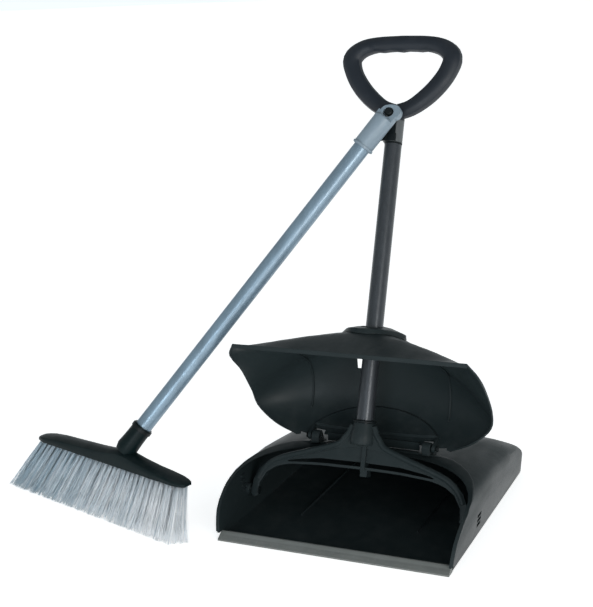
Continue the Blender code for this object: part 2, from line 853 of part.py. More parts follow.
def make_hood():
    hood = sheet("hood_shell", hood_grid(0.0), hood_grid(HOOD_WALL), BLACK)
    arch = sheet("hood_arch", hood_grid(0.0010), hood_grid(0.0058))
    turns = [math.radians(10 * i) for i in range(36)]
    outline = [(ARCH_HALF * math.cos(turn), ARCH_Z + ARCH_HIGH * math.sin(turn)) for turn in turns]
    combine(arch, prism("hood_arch_outline", outline, front_plane, 0.1860, 0.2500), "INTERSECT")
    join(hood, arch)
    hem = [(0.1756, 0.1085), (0.1786, 0.1085), (0.1778, 0.0968), (0.1755, 0.0968)]
    join(hood, prism("hood_hem", hem, side_plane, -0.0700, 0.0700))
    for side in (-1, 1):
        x = side * 0.1055
        fin = hood_line(0.0012, x, 9, 20) + list(reversed(hood_line(0.0046, x, 9, 20)))
        join(hood, prism(f"hood_fin_{side}", fin, side_plane, x - 0.0010, x + 0.0010))
        ear = arc((HINGE_Y, HINGE_Z), 0.0062, 110.0, 300.0, 12)
        ear += [(0.1900, 0.1095), (0.1975, 0.1165), (0.1900, 0.1170)]
        inner = side * 0.0918
        outer = side * 0.0965
        join(hood, prism(f"hood_ear_{side}", ear, side_plane, min(inner, outer), max(inner, outer)))
        notch = [(0.1500, 0.0900), (0.1835, 0.0900), (0.1835, 0.1165), (0.1500, 0.1165)]
        near = side * 0.0755
        far = side * 0.0912
        cut(hood, prism(f"hood_notch_{side}", notch, side_plane, min(near, far), max(near, far)))
    cut(hood, slot_cutter("hood_slot"))
    window = [(-0.0405, 0.1940), (-0.0300, 0.1940), (-0.0300, 0.2200), (-0.0405, 0.2200)]
    cut(hood, prism("hood_window", window, front_plane, 0.190, 0.260))
    for side in (-1, 1):
        start = (side * 0.088, HINGE_Y, HINGE_Z)
        cut(hood, rod(f"hood_ear_bore_{side}", HINGE_BORE_R, start, (side * 0.11, HINGE_Y, HINGE_Z)))
        start = (side * 0.0968, HINGE_Y, HINGE_Z)
        cut(hood, rod(f"hood_head_relief_{side}", 0.0054, start, (side * 0.1120, HINGE_Y, HINGE_Z)))
    return hood


def make_collar():
    """Domed pad round the slot, seated on the hood."""
    pad = sheet("hood_collar", hood_grid(-GAP), hood_grid(-COLLAR_HIGH), BLACK)
    rings = []
    outline = [
        (0.2300, 0.0500, 0.1870, 0.0400),
        (0.2580, 0.0480, 0.1865, 0.0395),
        (0.2620, 0.0440, 0.1855, 0.0385),
        (0.2660, 0.0395, 0.1840, 0.0370),
        (0.2700, 0.0350, 0.1815, 0.0345),
        (0.2740, 0.0300, 0.1780, 0.0300),
        (0.2790, 0.0230, 0.1740, 0.0220),
    ]
    for z, half, middle, deep in outline:
        turns = [math.radians(10 * i) for i in range(36)]
        rings.append([Vector((half * math.cos(turn), middle + deep * math.sin(turn), z)) for turn in turns])
    combine(pad, loft("collar_outline", rings), "INTERSECT")
    cut(pad, slot_cutter("collar_slot"))
    return pad


# Broom


def broom_axis():
    """Direction from the eye down the broom's pole."""
    return (BROOM_FOOT - EYE).normalized()


def head_axes():
    along = (HEAD_FRONT_RIGHT - HEAD_FRONT_LEFT).normalized()
    back = Vector((-along.y, along.x, 0.0)).normalized()
    up = along.cross(back).normalized()
    return along, back, up


def head_point(along, back, up):
    u, v, n = head_axes()
    return HEAD_FRONT_LEFT + u * along + v * back + n * up


def make_cap():
    down = broom_axis()
    profile = [
        (0.0, 0.0200),
        (TUBE_R + GAP, 0.0200),
        (TUBE_R + GAP, 0.0630),
        (CAP_R - 0.0006, 0.0630),
        (CAP_R, 0.0620),
        (CAP_R, 0.0115),
        (CAP_R - 0.0016, 0.0095),
        (0.0, 0.0095),
    ]
    cap = turned("broom_cap", profile, EYE, down, PALE_BLUE, 32)
    above = Vector((1.0, 0.0, 0.0)).cross(-PEG_AXIS)
    across = down.cross(PEG_AXIS).normalized()

    def loop_point(x, up, out):
        return EYE + Vector((x, 0.0, 0.0)) + above * up + PEG_AXIS * out

    loop = []
    for i in range(28):
        angle = 2 * math.pi * i / 28
        sideways = 0.0028 + 0.0152 * power(math.cos(angle), 0.85)
        loop.append((sideways, -0.0008 + 0.0110 * power(math.sin(angle), 0.85)))
    join(cap, prism("cap_loop", loop, loop_point, -0.0052, 0.0052))
    web = [(-0.0148, 0.0040), (0.0148, 0.0040), (0.0148, 0.0160), (-0.0148, 0.0160)]
    def web_point(a, b, c):
        return EYE + across * a + down * b + PEG_AXIS * c

    join(cap, prism("cap_web", web, web_point, -0.0050, 0.0050))
    turns = [math.radians(15 * i) for i in range(24)]
    hole = [(0.0080 * math.cos(turn), -0.0014 + 0.0074 * math.sin(turn)) for turn in turns]
    cut(cap, prism("cap_hole", hole, loop_point, -0.02, 0.02))
    return cap


def make_cap_ring():
    profile = [(CAP_R + GAP, 0.0030), (CAP_R + 0.0012, 0.0030), (CAP_R + 0.0012, 0.0), (CAP_R + GAP, 0.0)]
    return turned("cap_ring", profile, EYE + broom_axis() * 0.0592, broom_axis(), PALE_BLUE, 32)


def make_broom_pole():
    length = (BROOM_FOOT - EYE).length
    end = length - 0.006
    profile = [(TUBE_BORE_R, end), (TUBE_R, end), (TUBE_R, 0.0204), (TUBE_BORE_R, 0.0204)]
    return turned("broom_pole", profile, EYE, broom_axis(), TUBE_BLUE, 32)


def make_head():
    """Long block, thickest under its socket."""
    length = (HEAD_FRONT_RIGHT - HEAD_FRONT_LEFT).length
    mid_back = 0.5 * HEAD_WIDTH
    rings = []
    stations = [0.0, 0.003, 0.009, 0.020, 0.045, 0.088, 0.128, 0.158, 0.178, 0.198, 0.218, 0.248, 0.272]
    stations += [length - 0.018, length - 0.008, length - 0.003, length]
    for along in stations:
        end = min(along, length - along)
        taper = min(1.0, 0.45 + 0.55 * math.sqrt(min(1.0, end / 0.020)))
        half = mid_back * taper
        hump = along / 0.184 if along < 0.184 else math.exp(-(((along - 0.184) / 0.060) ** 2))
        fillet = math.exp(-(((along - 0.184) / 0.022) ** 2))
        high = (0.0092 + 0.0108 * hump + 0.0040 * fillet) * (0.40 + 0.60 * math.sqrt(min(1.0, end / 0.040)))
        ring = []
        for back, up in (
            (-1.0, 0.0),
            (-1.0, 0.55),
            (-0.86, 0.84),
            (-0.45, 1.0),
            (0.45, 1.0),
            (0.86, 0.84),
            (1.0, 0.55),
            (1.0, 0.0),
        ):
            ring.append(head_point(along, mid_back + half * back, high * up))
        rings.append(ring)
    head = loft("broom_head", rings, GREEN_BLACK)
    down = broom_axis()
    length = (BROOM_FOOT - EYE).length
    socket = [
        (0.0, length + 0.0060),
        (0.0135, length + 0.0060),
        (0.0160, length - 0.0020),
        (0.0152, length - 0.0140),
        (0.0148, length - 0.0250),
        (0.0146, length - 0.0420),
        (0.0, length - 0.0420),
    ]
    join(head, turned("head_socket", socket, EYE, down, None, 32))
    deep = EYE + down * (length - 0.0057)
    bore = rod("head_socket_bore", TUBE_R + GAP, deep, EYE + down * (length - 0.07), None, 32)
    cut(head, bore)
    under = prism(
        "head_under",
        [(-0.05, -0.05), (0.36, -0.05), (0.36, 0.0), (-0.05, 0.0)],
        lambda a, n, v: head_point(a, v, n),
        -0.05,
        0.10,
    )
    cut(head, under)
    return head


def make_socket_band():
    length = (BROOM_FOOT - EYE).length
    profile = [(0.0149, 0.0050), (0.0160, 0.0050), (0.0160, 0.0), (0.0149, 0.0)]
    return turned("socket_band", profile, EYE + broom_axis() * (length - 0.0400), broom_axis(), DARK, 32)


def make_bristle_row(index):
    """One row of bristles as a thin fan from the block to the floor."""
    u, v, n = head_axes()
    spacing = (HEAD_WIDTH - 0.012) / (BRISTLE_ROWS - 1)
    back = 0.006 + spacing * index
    tip_left = Vector((-0.5760, 0.0785, 0.0)) + v * 0.0064 * index
    tip_right = Vector((-0.2224, -0.0361, 0.0)) + v * 0.0062 * index + u * 0.0052 * index
    rings = []
    steps = 8
    for k in range(steps + 1):
        t = k / steps
        top = head_point(0.007 + 0.2975 * t, back, -GAP)
        tip = tip_left.lerp(tip_right, t)
        half = 0.5 * BRISTLE_THICK
        rings.append([top - v * half, top + v * half, tip + v * half, tip - v * half])
    return loft(f"bristle_row_{index + 1}", rings, BRISTLE)


clear_scene()
PARTS = make_collection("dustpan_and_brush")
CUTTERS = make_collection("cutters")
CUTTERS.hide_render = True

BLACK = make_material("black_plastic", (0.030, 0.034, 0.034), 0.38)
DARK = make_material("dark_plastic", (0.012, 0.014, 0.016), 0.45)
GREY = make_material("grey_lip", (0.170, 0.175, 0.170), 0.50)
STEEL = make_material("steel", (0.550, 0.560, 0.580), 0.30, 1.0)
TUBE_GREY = make_material("tube_grey", (0.085, 0.095, 0.105), 0.32, 0.6)
WARM_GREY = make_material("warm_grey_plastic", (0.090, 0.088, 0.080), 0.45)
GRIP_BLACK = make_material("grip_plastic", (0.022, 0.026, 0.034), 0.42)
PALE_BLUE = make_material("pale_blue_plastic", (0.330, 0.420, 0.500), 0.40)
TUBE_BLUE = make_material("tube_blue", (0.220, 0.310, 0.400), 0.30, 0.3)
GREEN_BLACK = make_material("green_black_plastic", (0.006, 0.018, 0.019), 0.30)
BRISTLE = make_material("bristle", (0.500, 0.540, 0.560), 0.60)

make_pan()
make_lip()
make_hinge_lug("hinge_lug_left", -1)
make_hinge_lug("hinge_lug_right", 1)
make_hinge_pin("hinge_pin_left", -1)
make_hinge_pin("hinge_pin_right", 1)
make_pivot_pin("pivot_pin_left", -1)
make_pivot_pin("pivot_pin_right", 1)
make_yoke()
make_socket_ring()
make_screw("socket_screw", PIVOT + ALONG * 0.0900 - FORWARD * 0.0202, FORWARD, 0.0062)
make_pole()
make_joint_ring()
make_neck()
make_screw("neck_screw", PIVOT + ALONG * 0.5350 - FORWARD * 0.0132, FORWARD, 0.0100)
make_grip()
make_peg()
make_hood()
make_collar()
make_cap()
make_cap_ring()
make_broom_pole()
make_head()
make_socket_band()
for row in range(BRISTLE_ROWS):
    make_bristle_row(row)
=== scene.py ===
"""Looks of a lobby dustpan and brush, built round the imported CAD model.

It makes the materials, the bristles, the floor, the light and the camera, in metres and in the CAD
model's own frame. Every material is procedural, in each piece's own object coordinates.
"""

import json
import math

import bpy
import numpy as np
from mathutils import Matrix, Vector


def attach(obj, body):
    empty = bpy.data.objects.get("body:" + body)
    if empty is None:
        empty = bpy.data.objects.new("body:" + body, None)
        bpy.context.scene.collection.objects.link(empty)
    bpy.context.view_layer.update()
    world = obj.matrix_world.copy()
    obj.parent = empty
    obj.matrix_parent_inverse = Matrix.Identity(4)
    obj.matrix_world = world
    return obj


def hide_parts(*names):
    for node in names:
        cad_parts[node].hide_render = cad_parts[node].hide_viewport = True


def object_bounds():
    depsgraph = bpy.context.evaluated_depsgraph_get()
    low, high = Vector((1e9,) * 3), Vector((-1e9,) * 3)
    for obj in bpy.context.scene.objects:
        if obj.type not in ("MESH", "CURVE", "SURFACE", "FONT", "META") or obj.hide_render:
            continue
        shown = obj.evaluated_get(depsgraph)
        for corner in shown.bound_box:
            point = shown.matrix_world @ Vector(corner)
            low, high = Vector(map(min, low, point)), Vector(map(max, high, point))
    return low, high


# Camera
CAMERA_AT = Vector((0.6003, -1.3825, 0.7275))
CAMERA_YAW = math.radians(24.5593)
CAMERA_PITCH = math.radians(14.0123)
CAMERA_ROLL = math.radians(-2.3626)
CAMERA_LENS = 72.9
CAMERA_SENSOR = 36.0
CAMERA_NEAR = 0.05

# Sky: its strengths, its colour, and the Z of a unit direction at which it starts and stops dimming
SKY_HORIZON = 1.04
SKY_OVERHEAD = 0.42
SKY_COLOUR = (0.90, 0.97, 1.0)
SKY_DIMMING_FROM = 0.055
SKY_DIMMING_TO = 0.15

# Floor
FLOOR_GLOW = 0.68
FLOOR_HALF = 300.0

# Plastic and paint: strength of rubbing and dust, and the radius that sharp edges seem to have
RUBBING = 0.25
DUST = 0.07
DUST_COLOUR = (0.20, 0.20, 0.19)
PLASTIC_EDGE = 0.0007
PAINT_EDGE = 0.0004
STEEL_EDGE = 0.0003
LIP_EDGE = 0.0008
COAT_ROUGHNESS = 0.25

# Rubbed edges: cosine between the true and the rounded normal on a plain face and on a sharp edge
PLAIN_COSINE = 0.985
SHARP_COSINE = 0.90

# Mix node: the places of its factor, its two colours and its blended colour among its sockets
MIX_FACTOR, MIX_FIRST, MIX_SECOND, MIX_RESULT = 0, 6, 7, 2

# Lip strip: it is darker towards the bottom, less and less up to one height, and has a painted highlight
# above the other
LIP_DARKENING_TOP = 0.0045
LIP_HIGHLIGHT = 0.0075
LIP_HIGHLIGHT_BLEND = 0.0012

# Bristles: counts
ROWS = 4
TUFTS = 31
FILAMENTS = 46
FILAMENT_SIDES = 3
SEED = 11

# Bristles: sizes in metres, and a filament's radius at its tip as a share of that at its root
FILAMENT_R = 0.00027
FILAMENT_TAPER = 0.85
TUFT_R = 0.0019
TUFT_TIP_DEPTH = 0.0034
ROOT_SUNK = 0.0020
TRIM_HEIGHT = 0.0003

# Bristles: the length at each end of a row's CAD solid whose points mark that end
ROW_END = 0.004

# Bristles: random spreads in metres
TIP_DEPTH_SPREAD = 0.0006
TRIM_SPREAD = 0.0005
FILAMENT_BOW = 0.0014
TUFT_BOW = 0.0011

# Bristles: random spreads and limits along a row, as shares of its length
TUFT_SHIFT = 0.0035
TUFT_LEAN = 0.0045
FILAMENT_LEAN = 0.006
TIP_LIMITS = (-0.008, 1.004)

# Bristles: half a tuft's width at its tip, as a share of the space between tufts
TUFT_FLARE = 0.66

# Bristles: tone at a row's left end, darker there as painted shade, its rise to the right end, which is
# painted light, and its random spreads
SHADED_LEFT_TONE = 0.12
PAINTED_LIGHT_RISE = 0.88
TUFT_TONE = 0.07
FILAMENT_TONE = 0.26

# Bristles: shares of a filament's length at which it has a ring of points
STATIONS = np.array([0.0, 0.12, 0.32, 0.55, 0.78, 1.0])

# Smooth shading of the CAD nodes
SMOOTH_ANGLE = math.radians(32.0)
MERGE_DISTANCE = 0.000002

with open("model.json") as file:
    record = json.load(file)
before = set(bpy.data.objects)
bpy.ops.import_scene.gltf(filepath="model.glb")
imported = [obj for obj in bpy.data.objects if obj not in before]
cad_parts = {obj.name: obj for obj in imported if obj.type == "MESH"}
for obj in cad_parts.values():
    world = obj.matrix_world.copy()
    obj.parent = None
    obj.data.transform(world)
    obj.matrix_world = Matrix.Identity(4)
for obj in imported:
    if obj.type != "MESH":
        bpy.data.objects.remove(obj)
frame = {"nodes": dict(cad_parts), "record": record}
CAD_BOX = [list(corner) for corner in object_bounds()]
NODES = frame["nodes"]


# ---------------------------------------------------------------- shader helpers


def shade(colour, factor):
    """colour made lighter or darker by factor."""
    return [min(1.0, c * factor) for c in colour]


class Shader:
    """A material and its node tree, with short calls for the nodes used here."""

    def __init__(self, name, colour, roughness, metallic=0.0, specular=0.5, coat=0.0):
        self.name = name
        self.material = bpy.data.materials.new(name)
        self.material.use_nodes = True
        self.tree = self.material.node_tree
        self.main = self.tree.nodes["Principled BSDF"]
        self.set(self.main, {"Base Color": (*colour, 1.0), "Roughness": roughness, "Metallic": metallic})
        self.set(self.main, {"Specular IOR Level": specular})
        self.set(self.main, {"Coat Weight": coat, "Coat Roughness": COAT_ROUGHNESS})
        self.material.diffuse_color = (*colour, 1.0)
        self.place = self.tree.nodes.new("ShaderNodeTexCoord").outputs["Object"]

    def set(self, node, values):
        """Puts a number, colour or another node's output on each named socket."""
        for key, value in values.items():
            if isinstance(value, bpy.types.NodeSocket):
                self.tree.links.new(value, node.inputs[key])
            else:
                node.inputs[key].default_value = value

    def node(self, kind, values, **settings):
        """A new shader node with values on its sockets and settings of its own."""
        node = self.tree.nodes.new("ShaderNode" + kind)
        for key, value in settings.items():
            setattr(node, key, value)
        self.set(node, values)
        return node

    def stretched(self, scale):
        """The object's coordinates multiplied by scale along X, Y and Z."""
        return self.node("Mapping", {"Vector": self.place, "Scale": scale}).outputs["Vector"]

    def noise(self, scale, detail=3.0, roughness=0.55, stretch=None, distortion=0.0):
        """Cloudy values from 0 to 1 with features about 1/scale metres across."""
        place = self.place if stretch is None else self.stretched(stretch)
        values = {"Vector": place, "Scale": scale, "Detail": detail, "Roughness": roughness}
        values["Distortion"] = distortion
        return self.node("TexNoise", values).outputs["Fac"]

    def spread(self, value, low, high, to_low=0.0, to_high=1.0):
        """value between low and high mapped onto to_low and to_high, and held there."""
        values = {"Value": value, "From Min": low, "From Max": high, "To Min": to_low, "To Max": to_high}
        return self.node("MapRange", values, clamp=True).outputs["Result"]

    def times(self, first, second):
        return self.node("Math", {0: first, 1: second}, operation="MULTIPLY").outputs["Value"]

    def plus(self, first, second):
        return self.node("Math", {0: first, 1: second}, operation="ADD").outputs["Value"]

    def mix(self, factor, first, second):
        """first blended into second by factor. A colour may be a list, a tuple or a socket."""
        node = self.tree.nodes.new("ShaderNodeMix")
        node.data_type = "RGBA"
        self.tree.links.new(factor, node.inputs[MIX_FACTOR])
        for place, colour in ((MIX_FIRST, first), (MIX_SECOND, second)):
            if isinstance(colour, bpy.types.NodeSocket):
                self.tree.links.new(colour, node.inputs[place])
            else:
                node.inputs[place].default_value = (*colour, 1.0)
        return node.outputs[MIX_RESULT]

    def round_edges(self, radius):
        """The surface's normal with its sharp edges rounded over radius."""
        return self.node("Bevel", {"Radius": radius}, samples=4).outputs["Normal"]

    def worn_edges(self, radius):
        """1 on a sharp edge and 0 on a flat or gently curved face."""
        true = self.node("NewGeometry", {}).outputs["Normal"]
        rounded = self.round_edges(radius)
        along = self.node("VectorMath", {0: true, 1: rounded}, operation="DOT_PRODUCT").outputs["Value"]
        return self.spread(along, PLAIN_COSINE, SHARP_COSINE)

    def upward(self):
        """1 where the surface faces up and 0 where it faces level or down."""
        normal = self.node("NewGeometry", {}).outputs["Normal"]
        return self.spread(self.node("SeparateXYZ", {"Vector": normal}).outputs["Z"], 0.1, 0.9)

    def height(self):
        """The Z coordinate on the object."""
        return self.node("SeparateXYZ", {"Vector": self.place}).outputs["Z"]

    def bump(self, heights, edge_radius):
        """Rounds the edges and puts bumps one above another on them, each (value, depth in metres)."""
        normal = self.round_edges(edge_radius)
        for value, depth in heights:
            values = {"Height": value, "Strength": 1.0, "Distance": depth, "Normal": normal}
            normal = self.node("Bump", values).outputs["Normal"]
        self.set(self.main, {"Normal": normal})


# ---------------------------------------------------------------- materials


def moulded(name, colour, rubbed, roughness, specular=0.5, grain=0.00006):
    """Injection-moulded plastic: spark-eroded grain, flow marks, scuffs, rubbed edges and a little dust."""
    s = Shader(name, colour, roughness, specular=specular)
    clouds = s.noise(11.0, 4.0)
    flow = s.noise(26.0, 2.0, stretch=(1.0, 0.25, 1.0), distortion=0.6)
    scuffs = s.spread(s.noise(120.0, 5.0, 0.7, stretch=(1.0, 0.10, 1.0)), 0.60, 0.72)
    scuffs = s.times(scuffs, s.spread(s.noise(16.0, 3.0), 0.48, 0.66))
    edges = s.times(s.worn_edges(PLASTIC_EDGE), s.spread(s.noise(70.0, 4.0, 0.7), 0.42, 0.62))
    dust = s.times(s.upward(), s.spread(s.noise(38.0, 6.0, 0.7), 0.45, 0.75))
    base = s.mix(s.spread(clouds, 0.30, 0.70), shade(colour, 0.93), shade(colour, 1.07))
    base = s.mix(s.times(scuffs, 0.55 * RUBBING), base, rubbed)
    base = s.mix(s.times(edges, RUBBING), base, rubbed)
    base = s.mix(s.times(dust, DUST), base, DUST_COLOUR)
    rough = s.spread(flow, 0.30, 0.70, roughness - 0.05, roughness + 0.07)
    s.set(s.main, {"Base Color": base, "Roughness": s.plus(rough, s.times(scuffs, 0.14))})
    fine = s.noise(1500.0, 2.0, 0.6)
    s.bump([(s.noise(36.0, 2.0), 0.0004), (flow, 0.0002), (fine, grain), (scuffs, -0.00005)], PLASTIC_EDGE)
    return s


def metal_paint(name, colour, flake, roughness, metallic, streak):
    """Baked metallic paint on a drawn tube: flakes, faint lengthwise draw marks and a few rubbed spots."""
    s = Shader(name, colour, roughness, metallic, coat=0.25)
    flakes = s.spread(s.noise(2600.0, 1.0), 0.52, 0.70)
    drawn = s.noise(900.0, 2.0, stretch=streak)
    bands = s.noise(240.0, 3.0, stretch=streak)
    rubs = s.spread(s.noise(90.0, 6.0, 0.72), 0.60, 0.68)
    base = s.mix(s.spread(bands, 0.35, 0.65), shade(colour, 0.88), shade(colour, 1.12))
    base = s.mix(s.times(flakes, 0.35), base, flake)
    base = s.mix(s.times(rubs, 0.22), base, shade(colour, 1.6))
    rough = s.spread(drawn, 0.30, 0.70, roughness - 0.06, roughness + 0.08)
    s.set(s.main, {"Base Color": base, "Roughness": s.plus(rough, s.times(rubs, 0.12))})
    s.bump([(drawn, 0.00003), (s.noise(420.0, 3.0), 0.00002)], PAINT_EDGE)
    return s


def steel():
    """Zinc-plated steel, finely brushed, with dull spots."""
    bright = (0.56, 0.57, 0.59)
    s = Shader("steel", bright, 0.30, metallic=1.0)
    brushed = s.noise(1600.0, 2.0, stretch=(1.0, 0.06, 1.0))
    dull = s.spread(s.noise(260.0, 4.0), 0.45, 0.70)
    base = s.mix(s.times(dull, 0.5), bright, (0.38, 0.38, 0.37))
    s.set(s.main, {"Base Color": base, "Roughness": s.spread(brushed, 0.3, 0.7, 0.24, 0.42)})
    s.bump([(brushed, 0.00003)], STEEL_EDGE)
    return s


def lip_rubber():
    """Grey lip strip: extruded lengthwise lines, darker towards the bottom, short sweeping scratches and a
    painted highlight along its top.
    """
    colour = (0.150, 0.160, 0.152)
    s = Shader("grey_lip", colour, 0.42, specular=0.45)
    lines = s.noise(1400.0, 2.0, stretch=(0.012, 1.0, 1.0))
    mottled = s.noise(46.0, 5.0, 0.65)
    scratches = s.spread(s.noise(420.0, 4.0, 0.7, stretch=(1.0, 0.08, 1.0)), 0.58, 0.70)
    # Darker towards the bottom, in mottled patches.
    low_darkening = s.times(s.spread(s.height(), LIP_DARKENING_TOP, 0.0), s.spread(mottled, 0.35, 0.65))
    # Painted highlight: the strip is paler above one height.
    painted_highlight = s.spread(s.height(), LIP_HIGHLIGHT - LIP_HIGHLIGHT_BLEND, LIP_HIGHLIGHT)
    base = s.mix(s.spread(mottled, 0.3, 0.7), shade(colour, 0.84), shade(colour, 1.18))
    base = s.mix(s.times(s.spread(lines, 0.5, 0.7), 0.30), base, (0.24, 0.24, 0.23))
    base = s.mix(s.times(scratches, 0.35), base, (0.30, 0.30, 0.29))
    # Painted highlight along the strip's top.
    base = s.mix(s.times(painted_highlight, 0.5), base, (0.26, 0.275, 0.262))
    # Darker towards the bottom.
    base = s.mix(s.times(low_darkening, 0.7), base, (0.045, 0.043, 0.040))
    s.set(s.main, {"Base Color": base, "Roughness": s.spread(mottled, 0.3, 0.7, 0.42, 0.60)})
    s.bump([(lines, 0.00010), (scratches, -0.00004), (s.noise(1300.0, 2.0), 0.00003)], LIP_EDGE)
    return s


def bristle_fibre():
    """Drawn polymer filament: random tone plus painted light that rises to a row's right end, grey-blue
    painted shade at the root, paler above, dusty at the tip.
    """
    s = Shader("bristle", (0.70, 0.76, 0.80), 0.42, specular=0.35)
    tone = s.node("Attribute", {}, attribute_name="tone").outputs["Fac"]
    reach = s.node("Attribute", {}, attribute_name="reach").outputs["Fac"]
    # Tone runs from dark grey-blue to pale white; its rise towards a row's right end is painted light.
    base = s.mix(tone, (0.34, 0.46, 0.54), (0.97, 0.985, 1.0))
    # Painted shade: darker grey-blue towards the roots, packed together under the head.
    base = s.mix(s.spread(reach, 0.0, 0.45, 0.50, 0.0), base, (0.18, 0.26, 0.32))
    base = s.mix(s.spread(reach, 0.93, 1.0, 0.0, 0.35), base, (0.34, 0.34, 0.32))
    s.set(s.main, {"Base Color": base, "Roughness": s.spread(s.noise(700.0, 2.0), 0.3, 0.7, 0.36, 0.52)})
    return s


def make_materials():
    """The material of each slot in the record. Plastics are given as colour, rubbed colour and roughness."""
    along_pole = (1.0, 1.0, 0.02)
    along_broom = (0.15, 0.15, 0.02)
    shaders = (
        moulded("black_plastic", (0.0150, 0.0215, 0.0230), (0.050, 0.057, 0.058), 0.40, specular=0.12),
        moulded("dark_plastic", (0.006, 0.009, 0.010), (0.03, 0.035, 0.035), 0.40, specular=0.16),
        moulded("green_black_plastic", (0.003, 0.009, 0.010), (0.020, 0.032, 0.032), 0.38, specular=0.12),
        moulded("grip_plastic", (0.01, 0.014, 0.02), (0.045, 0.05, 0.06), 0.44, specular=0.28, grain=0.0001),
        moulded("warm_grey_plastic", (0.074, 0.082, 0.085), (0.12, 0.125, 0.125), 0.45),
        moulded("pale_blue_plastic", (0.185, 0.24, 0.285), (0.36, 0.41, 0.45), 0.40),
        metal_paint("tube_grey", (0.034, 0.039, 0.045), (0.11, 0.12, 0.13), 0.36, 0.5, along_pole),
        metal_paint("tube_blue", (0.165, 0.240, 0.305), (0.42, 0.50, 0.57), 0.34, 0.35, along_broom),
        steel(),
        lip_rubber(),
        bristle_fibre(),
    )
    return {shader.name: shader.material for shader in shaders}


# ---------------------------------------------------------------- bristles


def row_ends(node):
    """(left root, right root, left tip, right tip) of a bristle row's CAD solid, on its middle plane."""
    points = np.array([v.co for v in NODES[node].data.vertices])
    middle = 0.5 * (points[:, 2].min() + points[:, 2].max())
    ends = []
    for chosen in (points[points[:, 2] > middle], points[points[:, 2] <= middle]):
        left = chosen[chosen[:, 0] < chosen[:, 0].min() + ROW_END]
        right = chosen[chosen[:, 0] > chosen[:, 0].max() - ROW_END]
        ends += [left.mean(axis=0), right.mean(axis=0)]
    return ends


def by_tuft(random, spread):
    """A random value for each tuft, repeated for each of its filaments."""
    return np.repeat(random.normal(0.0, spread, TUFTS), FILAMENTS)


def by_filament(random, spread):
    """A random value for each filament."""
    return random.normal(0.0, spread, TUFTS * FILAMENTS)


def filament_paths(node, random):
    """Centre lines of one row's filaments, as (filament, station, xyz), and each filament's tone, which
    carries painted light rising to the right.
    """
    root_left, root_right, tip_left, tip_right = row_ends(node)
    length = np.linalg.norm(root_right - root_left)
    along = (root_right - root_left) / length
    across = np.cross(along, (0.0, 0.0, 1.0))
    across /= np.linalg.norm(across)
    count = TUFTS * FILAMENTS
    tuft = np.repeat(np.arange(TUFTS), FILAMENTS)
    centre = (tuft + 0.5) / TUFTS + by_tuft(random, TUFT_SHIFT)

    angle = random.uniform(0.0, 2.0 * math.pi, count)
    away = np.sqrt(random.uniform(0.0, 1.0, count))
    side = away * np.cos(angle)
    depth = away * np.sin(angle)

    root_at = centre + side * TUFT_R / length
    root = root_left + np.outer(root_at, root_right - root_left) + np.outer(depth * TUFT_R, across)
    root[:, 2] += ROOT_SUNK

    tip_at = centre + side * (TUFT_FLARE / TUFTS) + by_tuft(random, TUFT_LEAN)
    tip_at = np.clip(tip_at + by_filament(random, FILAMENT_LEAN), *TIP_LIMITS)
    tip = tip_left + np.outer(tip_at, tip_right - tip_left) + np.outer(depth * TUFT_TIP_DEPTH, across)
    tip += np.outer(by_filament(random, TIP_DEPTH_SPREAD), across)
    tip[:, 2] = TRIM_HEIGHT + np.abs(by_filament(random, TRIM_SPREAD))

    bow = by_filament(random, FILAMENT_BOW) + by_tuft(random, TUFT_BOW)
    lines = root[:, None, :] * (1 - STATIONS[:, None]) + tip[:, None, :] * STATIONS[:, None]
    lines += (bow[:, None] * np.sin(np.pi * STATIONS))[:, :, None] * along
    # The tone rises from left to right as painted light; the tuft and filament spreads are random differences
    # of tone.
    tone = SHADED_LEFT_TONE + PAINTED_LIGHT_RISE * centre + by_tuft(random, TUFT_TONE) + by_filament(random, FILAMENT_TONE)
    return lines, np.clip(tone, 0.0, 1.0)


def filament_corners(lines, random):
    """Corner points round the centre lines, filament by filament and station by station."""
    heading = lines[:, -1] - lines[:, 0]
    heading /= np.linalg.norm(heading, axis=1)[:, None]
    first = np.cross(heading, (0.0, 1.0, 0.0))
    first /= np.linalg.norm(first, axis=1)[:, None]
    second = np.cross(heading, first)
    count, stations, _ = lines.shape
    turn = random.uniform(0.0, 2.0 * math.pi, count)
    radius = FILAMENT_R * np.linspace(1.0, FILAMENT_TAPER, stations)
    corners = []
    for k in range(FILAMENT_SIDES):
        angle = turn + 2.0 * math.pi * k / FILAMENT_SIDES
        away = np.cos(angle)[:, None] * first + np.sin(angle)[:, None] * second
        corners.append(lines + away[:, None, :] * radius[None, :, None])
    return np.stack(corners, axis=2).reshape(-1, 3)


def filament_faces(count, stations):
    """The side faces and the two end faces of each filament, as lists of corner numbers."""
    ring = np.arange(FILAMENT_SIDES)
    first = np.arange(count)[:, None] * stations * FILAMENT_SIDES
    low = first[:, :, None] + np.arange(stations - 1)[None, :, None] * FILAMENT_SIDES
    here = low + ring
    beside = low + (ring + 1) % FILAMENT_SIDES
    sides = np.stack([here, beside, beside + FILAMENT_SIDES, here + FILAMENT_SIDES], axis=-1).reshape(-1, 4)
    ends = np.concatenate([first + ring[::-1], first + (stations - 1) * FILAMENT_SIDES + ring])
    return sides.tolist() + ends.tolist()


